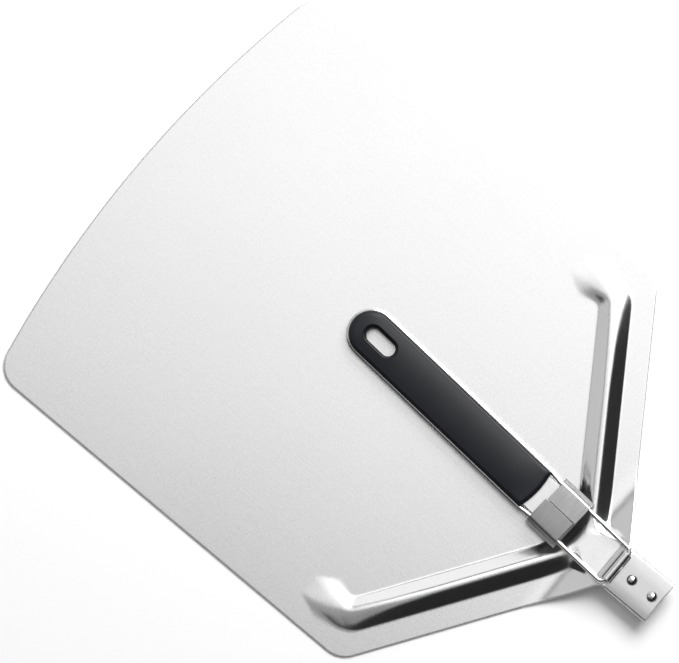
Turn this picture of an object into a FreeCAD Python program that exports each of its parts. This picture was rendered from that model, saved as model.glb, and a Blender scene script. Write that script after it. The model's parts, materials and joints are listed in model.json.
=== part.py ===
import FreeCAD, Part
import math
import os

import Sketcher

# A folding pizza peel: a pressed steel blade, a hinge bracket riveted to its tail, and a handle of
# bent wire with a two-shell grip. The handle lies folded over the blade. Swung over and in line,
# it is locked by a collar that slides from the handle onto the bracket.
# X runs from the blade's front edge to the bracket, Z is up, and the origin is under the middle.

doc = FreeCAD.newDocument("PizzaPeel")
V = FreeCAD.Vector

# ------------------------------------------------------------------ driving dimensions, mm, degrees
sheet = doc.addObject("Spreadsheet::Sheet", "Dims")
DIMENSIONS = [
    ("overall_length", 419.0),
    ("blade_width", 305.0),
    ("blade_sheet", 1.2),
    ("front_radius", 735.0),
    ("corner_radius", 17.5),
    ("side_length", 290.7),
    ("rear_angle", 56.1),
    ("neck_fillet", 8.0),
    ("tail_width", 26.8),
    ("tail_end_gap", 2.5),
    ("tail_top", 12.1),
    ("rib_rim", 14.4),
    ("rib_outer_slope", 7.4),
    ("rib_crest", 4.6),
    ("rib_inner_slope", 7.6),
    ("rib_height", 5.5),
    ("rib_side_rim", 14.4),
    ("rib_side_run", 34.0),
    ("rib_corner_start", 62.0),
    ("rib_neck_end", 168.0),
    ("rib_end_height", 0.15),
    ("neck_top_width", 21.0),
    ("neck_foot_width", 31.0),
    ("neck_side_reach", 45.0),
    ("bracket_length", 34.4),
    ("bracket_width", 29.6),
    ("bracket_sheet", 1.1),
    ("bracket_depth", 4.0),
    ("bend_radius", 0.5),
    ("flange_setback", 2.0),
    ("barrel_radius", 3.45),
    ("barrel_length", 20.8),
    ("barrel_setback", 34.7),
    ("rivet_shank_radius", 2.0),
    ("rivet_head_radius", 3.4),
    ("rivet_head_height", 1.8),
    ("rivet_tail_radius", 3.0),
    ("rivet_tail_height", 0.9),
    ("rivet_setback", 6.3),
    ("rivet_pitch", 15.9),
    ("wire_radius", 1.5),
    ("wire_pin_reach", 6.4),
    ("wire_half_gap", 13.35),
    ("wire_half_gap_grip", 14.3),
    ("wire_chamfer", 2.0),
    ("wire_clearance", 0.05),
    ("grip_start", 68.3),
    ("grip_end", 221.3),
    ("grip_half_width", 14.6),
    ("grip_half_height", 6.5),
    ("grip_edge_radius", 3.0),
    ("grip_near_radius", 60.0),
    ("slot_from_tip", 22.1),
    ("slot_half_length", 10.75),
    ("slot_radius", 4.6),
    ("slot_bevel", 1.9),
    ("core_start", 40.0),
    ("core_end", 152.0),
    ("core_half_width", 11.5),
    ("core_sheet", 1.2),
    ("core_corner", 2.5),
    ("screw_first", 96.0),
    ("screw_pitch", 44.0),
    ("screw_radius", 1.5),
    ("screw_head_radius", 2.8),
    ("screw_head_height", 1.9),
    ("screw_head_bevel", 0.6),
    ("screw_recess", 0.6),
    ("screw_end_gap", 2.5),
    ("screw_point_length", 1.2),
    ("screw_point_radius", 0.3),
    ("screw_cross_half_length", 1.7),
    ("screw_cross_half_width", 0.35),
    ("screw_cross_depth", 1.0),
    ("screw_bore_slack", 0.1),
    ("collar_start", 35.9),
    ("collar_length", 23.6),
    ("collar_half_width", 16.3),
    ("collar_sheet", 0.7),
    ("collar_back", 2.55),
    ("collar_deep", 7.6),
    ("collar_corner", 2.2),
    ("collar_lip", 2.5),
    ("collar_seam", 0.56),
    ("collar_seam_offset", 0.6),
    ("collar_offset", 1.0),
    ("handle_sway", 3.8),
    ("handle_pitch", 1.95),
]
for row, (alias, number) in enumerate(DIMENSIONS, start=1):
    sheet.set(f"A{row}", alias)
    sheet.set(f"B{row}", str(number))
    sheet.setAlias(f"B{row}", alias)
doc.recompute()


class Size:
    """A length or angle with the sheet expression that gives it, so that sums keep both."""

    def __init__(self, number, text):
        self.number = number
        self.text = text

    def join(self, other, sign):
        other = other if isinstance(other, Size) else Size(float(other), str(float(other)))
        results = {
            "+": lambda: self.number + other.number,
            "-": lambda: self.number - other.number,
            "*": lambda: self.number * other.number,
            "/": lambda: self.number / other.number,
        }
        return Size(results[sign](), f"({self.text} {sign} {other.text})")

    def __add__(self, other):
        return self.join(other, "+")

    def __sub__(self, other):
        return self.join(other, "-")

    def __mul__(self, other):
        return self.join(other, "*")

    def __truediv__(self, other):
        return self.join(other, "/")

    def __neg__(self):
        return self * -1


def size(alias):
    return Size(float(sheet.get(alias)), f"Dims.{alias}")


def value(alias):
    return size(alias).number


def fixed(number):
    return Size(float(number), str(float(number)))


# ------------------------------------------------------------------ helpers for bodies and sketches
def new_body(label):
    return doc.addObject("PartDesign::Body", label + "_body")


def new_sketch(body, name, role):
    sketch = body.newObject("Sketcher::SketchObject", name)
    plane = [f for f in body.Origin.OriginFeatures if f.Role == role][0]
    sketch.AttachmentSupport = (plane, [""])
    sketch.MapMode = "FlatFace"
    return sketch


def bind(sketch, constraint, amount):
    index = sketch.addConstraint(constraint)
    sketch.setExpression(f"Constraints[{index}]", amount.text)


def draw_outline(sketch, corners, arcs=None, hollows=None):
    """A closed outline, drawn anticlockwise through corners, each a pair of Sizes.
    arcs and hollows map a side's number to the radius that it bulges out or curves in by."""
    arcs = arcs or {}
    hollows = hollows or {}
    curved = {**arcs, **hollows}
    points = [V(x.number, y.number, 0) for x, y in corners]
    first = sketch.GeometryCount
    count = len(points)
    for i in range(count):
        start = points[i]
        end = points[(i + 1) % count]
        if i in curved:
            radius = curved[i].number
            chord = end - start
            outward = V(chord.y, -chord.x, 0).normalize() * (1 if i in arcs else -1)
            rise = radius - math.sqrt(radius**2 - (chord.Length / 2) ** 2)
            sketch.addGeometry(Part.Arc(start, (start + end) * 0.5 + outward * rise, end), False)
        else:
            sketch.addGeometry(Part.LineSegment(start, end), False)
    for i in range(count):
        # a sketch counts an arc's ends anticlockwise about its centre, so a hollow's ends swap
        follower = (i + 1) % count
        start_point = 2 if i in hollows else 1
        end_point = 1 if i in hollows else 2
        next_start = 2 if follower in hollows else 1
        sketch.addConstraint(
            Sketcher.Constraint("Coincident", first + i, end_point, first + follower, next_start)
        )
        x, y = corners[i]
        bind(sketch, Sketcher.Constraint("DistanceX", -1, 1, first + i, start_point, x.number), x)
        bind(sketch, Sketcher.Constraint("DistanceY", -1, 1, first + i, start_point, y.number), y)
    for i, radius in curved.items():
        bind(sketch, Sketcher.Constraint("Radius", first + i, radius.number), radius)


def draw_circle(sketch, x, y, radius):
    index = sketch.GeometryCount
    sketch.addGeometry(Part.Circle(V(x.number, y.number, 0), V(0, 0, 1), radius.number), False)
    bind(sketch, Sketcher.Constraint("DistanceX", -1, 1, index, 3, x.number), x)
    bind(sketch, Sketcher.Constraint("DistanceY", -1, 1, index, 3, y.number), y)
    bind(sketch, Sketcher.Constraint("Radius", index, radius.number), radius)


def draw_stadium(sketch, x, half_length, radius):
    """A slot with round ends, centred at x on the sketch's first axis."""
    reach = half_length - radius
    index = sketch.GeometryCount
    left = (x - reach).number
    right = (x + reach).number
    r = radius.number
    sketch.addGeometry(Part.LineSegment(V(left, -r, 0), V(right, -r, 0)), False)
    sketch.addGeometry(Part.Arc(V(right, -r, 0), V(right + r, 0, 0), V(right, r, 0)), False)
    sketch.addGeometry(Part.LineSegment(V(right, r, 0), V(left, r, 0)), False)
    sketch.addGeometry(Part.Arc(V(left, r, 0), V(left - r, 0, 0), V(left, -r, 0)), False)
    for i in range(4):
        follower = index + (i + 1) % 4
        sketch.addConstraint(Sketcher.Constraint("Tangent", index + i, 2, follower, 1))
    bind(sketch, Sketcher.Constraint("DistanceX", -1, 1, index + 1, 3, right), x + reach)
    bind(sketch, Sketcher.Constraint("DistanceX", -1, 1, index + 3, 3, left), x - reach)
    bind(sketch, Sketcher.Constraint("DistanceY", -1, 1, index, 1, -r), -radius)
    bind(sketch, Sketcher.Constraint("DistanceY", -1, 1, index + 2, 1, r), radius)


def pad(body, sketch, name, length, midplane=False, reverse=False):
    feature = body.newObject("PartDesign::Pad", name)
    feature.Profile = sketch
    feature.setExpression("Length", length.text)
    feature.Midplane = midplane
    feature.Reversed = reverse
    doc.recompute()
    return feature


def cut_volume(feature, before):
    """A pocket that points away from the solid cuts nothing, so its volume is compared."""
    if feature.Shape.Volume >= before - 1e-6:
        raise RuntimeError(f"{feature.Label} cut nothing")


def pocket(body, sketch, name, length, midplane=False, reverse=False):
    before = body.Shape.Volume
    feature = body.newObject("PartDesign::Pocket", name)
    feature.Profile = sketch
    feature.setExpression("Length", length.text)
    feature.Midplane = midplane
    feature.Reversed = reverse
    doc.recompute()
    cut_volume(feature, before)
    return feature


def edge_names(feature, wanted):
    return [f"Edge{i}" for i, edge in enumerate(feature.Shape.Edges, start=1) if wanted(edge)]


def round_edges(body, feature, name, radius, wanted):
    fillet = body.newObject("PartDesign::Fillet", name)
    fillet.Base = (feature, edge_names(feature, wanted))
    fillet.setExpression("Radius", radius.text)
    doc.recompute()
    return fillet


def upright(edge):
    """A straight edge along the Z axis."""
    if len(edge.Vertexes) != 2:
        return False
    low, high = edge.Vertexes[0].Point, edge.Vertexes[1].Point
    return abs(low.x - high.x) < 1e-6 and abs(low.y - high.y) < 1e-6


def plain_feature(label, shape):
    feature = doc.addObject("Part::Feature", label)
    feature.Shape = shape
    return feature


def boolean(kind, name, **links):
    feature = doc.addObject(kind, name)
    for key, linked in links.items():
        setattr(feature, key, linked)
    doc.recompute()
    return feature


subparts = {}


def keep(label, feature):
    feature.Label = label
    subparts[label] = feature


# ------------------------------------------------------------------ places worked out from the sheet
half_length = size("overall_length") / 2
half_width = size("blade_width") / 2
front_sagitta = value("front_radius") - math.sqrt(value("front_radius") ** 2 - half_width.number**2)
slant = math.radians(value("rear_angle"))
rear_corner_x = size("side_length") - half_length
tail_half = size("tail_width") / 2
neck_corner_x = Size(
    rear_corner_x.number + (half_width.number - tail_half.number) / math.tan(slant),
    f"({rear_corner_x.text} + ({half_width.text} - {tail_half.text}) / tan(Dims.rear_angle * 1deg))",
)
sagitta = Size(
    front_sagitta,
    f"(Dims.front_radius - sqrt(Dims.front_radius * Dims.front_radius - {half_width.text} * {half_width.text}))",
)
tail_end_x = half_length - size("tail_end_gap")
hinge_x = half_length - size("barrel_setback")
bracket_start_x = half_length - size("bracket_length")
hinge_height = size("tail_top") + size("barrel_radius")
rivet_rear_x = half_length - size("rivet_setback")
rivet_front_x = rivet_rear_x - size("rivet_pitch")

# ------------------------------------------------------------------ blade
# One pressing from steel sheet: a flat blade with a curved front edge, a hollow bead along both rear
# edges, and a neck that climbs to a narrow raised tail.
blade_plan = new_body("blade_plan")
plan_sketch = new_sketch(blade_plan, "blade_plan_outline", "XY_Plane")
front_corner_x = sagitta - half_length
draw_outline(
    plan_sketch,
    [
        (front_corner_x, half_width),
        (front_corner_x, -half_width),
        (rear_corner_x, -half_width),
        (neck_corner_x, -tail_half),
        (tail_end_x, -tail_half),
        (tail_end_x, tail_half),
        (neck_corner_x, tail_half),
        (rear_corner_x, half_width),
    ],
    {0: size("front_radius")},
)
plan_pad = pad(blade_plan, plan_sketch, "blade_plan_pad", size("tail_top"))
wide = half_width.number - 1
plan_rounded = round_edges(
    blade_plan,
    plan_pad,
    "blade_corners",
    size("corner_radius"),
    lambda e: upright(e) and abs(e.Vertexes[0].Y) > wide,
)
plan_final = round_edges(
    blade_plan,
    plan_rounded,
    "neck_fillets",
    size("neck_fillet"),
    lambda e: upright(e) and abs(e.Vertexes[0].X - neck_corner_x.number) < 0.1,
)

thick = value("blade_sheet")
rear_corner = V(rear_corner_x.number, half_width.number, 0)
along_rear = V(math.cos(slant), -math.sin(slant), 0)
into_blade = V(-math.sin(slant), -math.cos(slant), 0)


def rib_section(outer_foot, inner_foot, height):
    """A bead's outline across its run: two feet on the floor and a flat crest between the slopes."""
    across = inner_foot - outer_foot
    width = value("rib_outer_slope") + value("rib_crest") + value("rib_inner_slope")
    crest_start = outer_foot + across * (value("rib_outer_slope") / width)
    crest_end = outer_foot + across * ((value("rib_outer_slope") + value("rib_crest")) / width)
    lift = V(0, 0, thick)
    crest = V(0, 0, thick + height)
    points = [outer_foot, outer_foot + lift, crest_start + crest, crest_end + crest, inner_foot + lift, inner_foot]
    return Part.makePolygon(points + [points[0]])


rib_width = value("rib_outer_slope") + value("rib_crest") + value("rib_inner_slope")
side_outer_y = half_width.number - value("rib_side_rim")


def along_edge(distance, inset):
    """A point at a distance from the rear corner, set in from the rear edge."""
    return rear_corner + along_rear * distance + into_blade * inset


def side_crossing(inset, y):
    """Where the line set in from the rear edge meets a line along the blade's side."""
    distance = (rear_corner.y + into_blade.y * inset - y) / -along_rear.y
    return along_edge(distance, inset)


outer_inset = value("rib_rim")
inner_inset = outer_inset + rib_width
turn_outer = side_crossing(outer_inset, side_outer_y)
turn_inner = side_crossing(inner_inset, side_outer_y - rib_width)
forward = V(-1, 0, 0)
side_run = value("rib_side_run")
full = value("rib_height")
rib_sections = [
    rib_section(along_edge(distance, outer_inset), along_edge(distance, inner_inset), full)
    for distance in (value("rib_neck_end"), value("rib_corner_start"))
]
# past the corner the bead dies away: shares of the side run at its outer and inner foot, and its height
RIB_FADE = [(0, 0, full * 0.9), (0.7, 0.35, full * 0.45), (1.4, 1, value("rib_end_height"))]
rib_sections += [
    rib_section(turn_outer + forward * side_run * outer, turn_inner + forward * side_run * inner, height)
    for outer, inner, height in RIB_FADE
]
rib_pieces = [Part.makeLoft(list(pair), True, True) for pair in zip(rib_sections, rib_sections[1:])]
rib_left = plain_feature("rib_left_form", rib_pieces[0].multiFuse(rib_pieces[1:]))
rib_right = doc.addObject("Part::Mirroring", "rib_right_form")
rib_right.Source = rib_left
rib_right.Normal = V(0, 1, 0)

# Across the neck: X, the rim's height at the sides and the height of the channel's flat top.
tail_top = value("tail_top")
foot_half = value("neck_foot_width") / 2
top_half = value("neck_top_width") / 2
NECK_RISE = [
    (134.5, thick, thick),
    (147.0, thick, full + thick + 0.1),
    (154.0, thick, full + thick + 0.8),
    (158.0, 2.4, full + thick + 1.4),
    (163.0, 5.3, full + thick + 2.3),
    (168.0, 8.6, full + thick + 3.2),
    (172.0, 10.9, full + thick + 4.4),
    (177.0, tail_top, tail_top),
    (tail_end_x.number, tail_top, tail_top),
]
neck_reach = value("neck_side_reach")


def neck_section(x, rim, top):
    half = [(neck_reach, 0), (neck_reach, rim), (foot_half, rim), (top_half, top)]
    corners = half + [(-y, z) for y, z in reversed(half)]
    points = [V(x, y, z) for y, z in corners]
    return Part.makePolygon(points + [points[0]])


neck_sections = [neck_section(*station) for station in NECK_RISE]
neck_pieces = [Part.makeLoft(list(pair), True, True) for pair in zip(neck_sections, neck_sections[1:])]
neck_form = plain_feature("neck_form", neck_pieces[0].multiFuse(neck_pieces[1:]))
neck_trimmed = boolean("Part::Common", "neck_trimmed", Base=blade_plan, Tool=neck_form)

flat_bounds = doc.addObject("Part::Box", "flat_bounds")
flat_bounds.setExpression("Length", f"({half_length.text} + {tail_end_x.text} - 55)")
flat_bounds.setExpression("Width", "Dims.blade_width + 2")
flat_bounds.setExpression("Height", "Dims.blade_sheet")
flat_bounds.setExpression("Placement.Base.x", f"-{half_length.text}")
flat_bounds.setExpression("Placement.Base.y", f"-({half_width.text} + 1)")
doc.recompute()
flat_blade = boolean("Part::Common", "flat_blade", Base=blade_plan, Tool=flat_bounds)
pressing = boolean("Part::MultiFuse", "pressing_over", Shapes=[flat_blade, rib_left, rib_right, neck_trimmed])

under = pressing.Shape.copy()
under.translate(V(0, 0, -thick))
holes = [
    Part.makeCylinder(value("rivet_shank_radius"), 20, V(x, 0, 0))
    for x in (rivet_front_x.number, rivet_rear_x.number)
]
pressing_under = plain_feature("pressing_under", under.multiFuse(holes))
blade = boolean("Part::Cut", "blade_pressing", Base=pressing, Tool=pressing_under)
keep("blade", blade)

# ------------------------------------------------------------------ hinge bracket
# A stainless plate folded down along both sides of the tail, whose narrower front tab is curled up
# and back into the hinge barrel.
bracket = new_body("hinge_bracket")
bracket_half = size("bracket_width") / 2
plate_top = size("tail_top") + size("bracket_sheet")
flange_start = bracket_start_x + size("flange_setback")
bend_outer = size("bracket_sheet") + size("bend_radius")
channel_sketch = new_sketch(bracket, "channel_outline", "YZ_Plane")
channel_sketch.setExpression("AttachmentOffset.Base.z", flange_start.text)
inner_half = bracket_half - size("bracket_sheet")
flange_foot = plate_top - size("bracket_depth")
draw_outline(
    channel_sketch,
    [
        (inner_half, flange_foot),
        (bracket_half, flange_foot),
        (bracket_half, plate_top - bend_outer),
        (bracket_half - bend_outer, plate_top),
        (bend_outer - bracket_half, plate_top),
        (-bracket_half, plate_top - bend_outer),
        (-bracket_half, flange_foot),
        (-inner_half, flange_foot),
        (-inner_half, size("tail_top") - size("bend_radius")),
        (size("bend_radius") - inner_half, size("tail_top")),
        (inner_half - size("bend_radius"), size("tail_top")),
        (inner_half, size("tail_top") - size("bend_radius")),
    ],
    arcs={2: bend_outer, 4: bend_outer},
    hollows={8: size("bend_radius"), 10: size("bend_radius")},
)
pad(bracket, channel_sketch, "channel", half_length - flange_start)
shoulder_sketch = new_sketch(bracket, "shoulder_outline", "XY_Plane")
shoulder_sketch.setExpression("AttachmentOffset.Base.z", "Dims.tail_top")
shoulder_half = bracket_half - bend_outer
draw_outline(
    shoulder_sketch,
    [
        (bracket_start_x, -shoulder_half),
        (flange_start + 0.5, -shoulder_half),
        (flange_start + 0.5, shoulder_half),
        (bracket_start_x, shoulder_half),
    ],
)
pad(bracket, shoulder_sketch, "shoulder", size("bracket_sheet"))
barrel_sketch = new_sketch(bracket, "barrel_ring", "XZ_Plane")
draw_circle(barrel_sketch, hinge_x, hinge_height, size("barrel_radius"))
barrel_pad = pad(bracket, barrel_sketch, "barrel", size("barrel_length"), midplane=True)
tab_sketch = new_sketch(bracket, "tab_outline", "XY_Plane")
tab_sketch.setExpression("AttachmentOffset.Base.z", "Dims.tail_top")
tab_half = size("barrel_length") / 2
draw_outline(
    tab_sketch,
    [
        (hinge_x, -tab_half),
        (bracket_start_x + 1, -tab_half),
        (bracket_start_x + 1, tab_half),
        (hinge_x, tab_half),
    ],
)
tab_pad = pad(bracket, tab_sketch, "tab", size("bracket_sheet"))
bore_sketch = new_sketch(bracket, "barrel_bore", "XZ_Plane")
draw_circle(bore_sketch, hinge_x, hinge_height, size("barrel_radius") - size("bracket_sheet"))
pocket(bracket, bore_sketch, "bore", size("barrel_length") * 2, midplane=True)
rivet_sketch = new_sketch(bracket, "rivet_holes_outline", "XY_Plane")
rivet_sketch.setExpression("AttachmentOffset.Base.z", plate_top.text)
for x in (rivet_front_x, rivet_rear_x):
    draw_circle(rivet_sketch, x, fixed(0), size("rivet_shank_radius"))
pocket(bracket, rivet_sketch, "rivet_holes", size("bracket_sheet") * 2)
keep("hinge_bracket", bracket)


# ------------------------------------------------------------------ rivets
# Two round-head rivets through plate and tail, clinched underneath.
def build_rivet(label, x):
    body = new_body(label)
    profile = new_sketch(body, f"{label}_profile", "XZ_Plane")
    shank = size("rivet_shank_radius")
    under_tail = size("tail_top") - size("blade_sheet")
    head = size("rivet_head_radius")
    tail = size("rivet_tail_radius")
    top = plate_top + size("rivet_head_height")
    bottom = under_tail - size("rivet_tail_height")
    # the dome's radius passes through the head's rim and its crown on the axis
    dome = (head * head + size("rivet_head_height") * size("rivet_head_height")) / (size("rivet_head_height") * 2)
    draw_outline(
        profile,
        [
            (fixed(0), bottom),
            (tail, bottom),
            (tail, under_tail),
            (shank, under_tail),
            (shank, plate_top),
            (head, plate_top),
            (fixed(0), top),
        ],
        {5: dome},
    )
    turn = body.newObject("PartDesign::Revolution", f"{label}_turned")
    turn.Profile = profile
    turn.ReferenceAxis = (profile, ["V_Axis"])
    turn.Angle = 360
    body.setExpression("Placement.Base.x", x.text)
    doc.recompute()
    keep(label, body)


build_rivet("rivet_front", rivet_front_x)
build_rivet("rivet_rear", rivet_rear_x)

# ------------------------------------------------------------------ the handle's own frame
# The handle's pieces are drawn with the hinge at the origin, X along the handle towards its tip, the
# wires in the XY plane and Z on the side where the folded handle shows. The folded place comes from
# the straight one, turned back about a hinge line that leans by half the handle's sway.
half_sway = math.radians(value("handle_sway") / 2)
hinge_axis = V(math.sin(half_sway), math.cos(half_sway), 0)
straight = FreeCAD.Rotation(V(1, 0, 0), 180)
folded = FreeCAD.Rotation(hinge_axis, -(180 + value("handle_pitch"))).multiply(straight)
handle_place = FreeCAD.Placement(V(hinge_x.number, 0, hinge_height.number), folded)


# ------------------------------------------------------------------ wire frame
# One length of round wire: two pins that turn in the barrel, two legs, and a bend round the tip.
def rounded_path(corners, radii):
    """Straight runs joined by tangent arcs, one radius for each inner corner."""
    edges = []
    start = corners[0]
    for before, corner, after, radius in zip(corners, corners[1:], corners[2:], radii):
        back = (before - corner).normalize()
        ahead = (after - corner).normalize()
        half_turn = (math.pi - back.getAngle(ahead)) / 2
        reach = radius * math.tan(half_turn)
        bisector = (back + ahead).normalize()
        middle = corner + bisector * (radius / math.cos(half_turn) - radius)
        edges.append(Part.LineSegment(start, corner + back * reach).toShape())
        edges.append(Part.Arc(corner + back * reach, middle, corner + ahead * reach).toShape())
        start = corner + ahead * reach
    edges.append(Part.LineSegment(start, corners[-1]).toShape())
    return edges


leg = value("wire_half_gap")
leg_collar = leg + 0.3
leg_grip = value("wire_half_gap_grip")
pin_end = value("barrel_length") / 2 - value("wire_pin_reach")
cut_corner = value("wire_chamfer")
tip_turn = value("grip_end") - value("grip_half_width")
collar_behind = value("collar_start") + value("collar_length")
leg_corners = [
    V(0, pin_end, 0),
    V(0, leg - cut_corner, 0),
    V(cut_corner, leg, 0),
    V(collar_behind + 1, leg_collar, 0),
    V(value("grip_start"), leg_grip, 0),
    V(tip_turn, leg_grip, 0),
]
upper_leg = rounded_path(leg_corners, [1.9, 3.0, 16.0, 16.0])
lower_leg = rounded_path([V(p.x, -p.y, 0) for p in reversed(leg_corners)], [16.0, 16.0, 3.0, 1.9])
round_tip = Part.Arc(V(tip_turn, leg_grip, 0), V(tip_turn + leg_grip, 0, 0), V(tip_turn, -leg_grip, 0)).toShape()
wire_path = plain_feature("wire_path", Part.Wire(upper_leg + [round_tip] + lower_leg))


def sweep_wire(name, radius):
    section = doc.addObject("Part::Circle", f"{name}_section")
    section.setExpression("Radius", radius.text)
    section.Placement = FreeCAD.Placement(V(0, pin_end, 0), FreeCAD.Rotation(V(1, 0, 0), -90))
    sweep = doc.addObject("Part::Sweep", name)
    sweep.Sections = [section]
    sweep.Spine = (wire_path, [f"Edge{i}" for i in range(1, len(wire_path.Shape.Edges) + 1)])
    sweep.Solid = True
    sweep.Frenet = False
    doc.recompute()
    return sweep


wire_frame = sweep_wire("wire_sweep", size("wire_radius"))
keep("wire_frame", wire_frame)
wire_room = sweep_wire("wire_room", size("wire_radius") + size("wire_clearance"))

# ------------------------------------------------------------------ core plate
# A flat steel plate between the legs. It joins the grip's shells and stiffens the handle's root.
core = new_body("core_plate")
core_sketch = new_sketch(core, "core_outline", "XY_Plane")
core_half = size("core_half_width")
draw_outline(
    core_sketch,
    [
        (size("core_start"), -core_half),
        (size("core_end"), -core_half),
        (size("core_end"), core_half),
        (size("core_start"), core_half),
    ],
)
screw_places = [size("screw_first"), size("screw_first") + size("screw_pitch")]
for x in screw_places:
    draw_circle(core_sketch, x, fixed(0), size("screw_radius"))
core_pad = pad(core, core_sketch, "core", size("core_sheet"), midplane=True)
round_edges(core, core_pad, "core_corners", size("core_corner"), lambda e: upright(e) and abs(e.Vertexes[0].Y) > 5)
keep("core_plate", core)


# ------------------------------------------------------------------ grip shells
# Two moulded shells, closed on each other in the wires' plane, with a groove for the wire round the
# edge, a recess for the core plate and a hanging slot through both.
def build_shell(label, up):
    body = new_body(label)
    outline = new_sketch(body, f"{label}_outline", "XY_Plane")
    wide_half = size("grip_half_width")
    turn_x = size("grip_end") - wide_half
    draw_outline(
        outline,
        [
            (size("grip_start"), -wide_half),
            (turn_x, -wide_half),
            (turn_x, wide_half),
            (size("grip_start"), wide_half),
        ],
        {1: wide_half + 0.0001, 3: size("grip_near_radius")},
    )
    shell = pad(body, outline, f"{label}_pad", size("grip_half_height"), reverse=not up)
    face_z = value("grip_half_height") * (1 if up else -1)
    softened = round_edges(
        body,
        shell,
        f"{label}_edges",
        size("grip_edge_radius"),
        lambda e: abs(e.BoundBox.ZMin - face_z) < 1e-6 and abs(e.BoundBox.ZMax - face_z) < 1e-6,
    )
    slot_x = size("grip_end") - size("slot_from_tip")
    slot = new_sketch(body, f"{label}_slot", "XY_Plane")
    draw_stadium(slot, slot_x, size("slot_half_length"), size("slot_radius"))
    slotted = pocket(body, slot, f"{label}_slot_cut", size("grip_half_height") * 3, midplane=True)
    bevel = body.newObject("PartDesign::Chamfer", f"{label}_slot_bevel")
    slot_reach = value("slot_half_length") + 0.5

    def on_slot_rim(edge):
        box = edge.BoundBox
        at_face = abs(box.ZMin - face_z) < 1e-6 and abs(box.ZMax - face_z) < 1e-6
        return at_face and box.XMin > slot_x.number - slot_reach and abs(box.Center.y) < value("slot_radius") + 0.5 \
            and box.XMax < slot_x.number + slot_reach

    bevel.Base = (slotted, edge_names(slotted, on_slot_rim))
    bevel.setExpression("Size", "Dims.slot_bevel")
    doc.recompute()
    recess = new_sketch(body, f"{label}_recess", "XY_Plane")
    draw_outline(
        recess,
        [
            (size("grip_start") - 5, -core_half),
            (size("core_end"), -core_half),
            (size("core_end"), core_half),
            (size("grip_start") - 5, core_half),
        ],
    )
    pocket(body, recess, f"{label}_recess_cut", size("core_sheet"), midplane=True)
    bores = new_sketch(body, f"{label}_bores", "XY_Plane")
    for x in screw_places:
        draw_circle(bores, x, fixed(0), size("screw_radius"))
    depth = size("grip_half_height") - 2 if up else size("grip_half_height") + 1
    pocket(body, bores, f"{label}_bores_cut", depth * 2, midplane=True)
    if not up:
        heads = new_sketch(body, f"{label}_heads", "XY_Plane")
        heads.setExpression("AttachmentOffset.Base.z", "-Dims.grip_half_height")
        for x in screw_places:
            draw_circle(heads, x, fixed(0), size("screw_head_radius") + size("screw_bore_slack"))
        pocket(body, heads, f"{label}_heads_cut", (size("screw_head_height") + size("screw_recess")) * 2, midplane=True)
    grooved = boolean("Part::Cut", f"{label}_grooved", Base=body, Tool=wire_room)
    keep(label, grooved)


build_shell("grip_front_shell", True)
build_shell("grip_back_shell", False)


# ------------------------------------------------------------------ grip screws
# Two pan-head screws from the back shell through the core plate into the front shell.
def build_screw(label):
    body = new_body(label)
    profile = new_sketch(body, f"{label}_profile", "XZ_Plane")
    seat = size("screw_head_height") + size("screw_recess") - size("grip_half_height")
    head_face = seat - size("screw_head_height")
    shank = size("screw_radius")
    head = size("screw_head_radius")
    end = size("grip_half_height") - size("screw_end_gap")
    bevel = size("screw_head_bevel")
    draw_outline(
        profile,
        [
            (fixed(0), head_face),
            (head - bevel, head_face),
            (head, head_face + bevel),
            (head, seat),
            (shank, seat),
            (shank, end - size("screw_point_length")),
            (size("screw_point_radius"), end),
            (fixed(0), end),
        ],
    )
    turn = body.newObject("PartDesign::Revolution", f"{label}_turned")
    turn.Profile = profile
    turn.ReferenceAxis = (profile, ["V_Axis"])
    turn.Angle = 360
    doc.recompute()
    cross = new_sketch(body, f"{label}_cross", "XY_Plane")
    cross.setExpression("AttachmentOffset.Base.z", head_face.text)
    arm = size("screw_cross_half_length")
    arm_half = size("screw_cross_half_width")
    cross_depth = size("screw_cross_depth") * 2
    for long_x in (True, False):
        a, b = (arm, arm_half) if long_x else (arm_half, arm)
        draw_outline(cross, [(-a, -b), (a, -b), (a, b), (-a, b)])
        if long_x:
            pocket(body, cross, f"{label}_cross_cut", cross_depth, midplane=True)
            cross = new_sketch(body, f"{label}_cross_second", "XY_Plane")
            cross.setExpression("AttachmentOffset.Base.z", head_face.text)
    pocket(body, cross, f"{label}_cross_second_cut", cross_depth, midplane=True)
    keep(label, body)


screw_offsets = dict(zip(("grip_screw_near", "grip_screw_far"), screw_places))
for screw_label in screw_offsets:
    build_screw(screw_label)

# ------------------------------------------------------------------ locking collar
# One strip of stainless sheet wrapped round the wires: deep on the side that closes over the bracket,
# where its two ends meet at a seam, with a pinched lip along both edges of its shallow side. The
# wrap's two ends are slightly out of step along the handle.
collar = new_body("locking_collar")
collar_half = size("collar_half_width")
back = -size("collar_back")
deep = size("collar_deep")
gauge = size("collar_sheet")


def collar_sketch(name, corners):
    sketch = new_sketch(collar, name, "YZ_Plane")
    sketch.setExpression("AttachmentOffset.Base.z", "Dims.collar_start")
    draw_outline(sketch, corners)
    return sketch


def box_corners(low_y, high_y, low_z, high_z):
    return [(low_y, low_z), (high_y, low_z), (high_y, high_z), (low_y, high_z)]


outer = collar_sketch("collar_outer", box_corners(-collar_half, collar_half, back, deep))
outer_pad = pad(collar, outer, "collar_block", size("collar_length"))


def long_way(edge):
    return edge.BoundBox.XLength > 5


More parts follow.
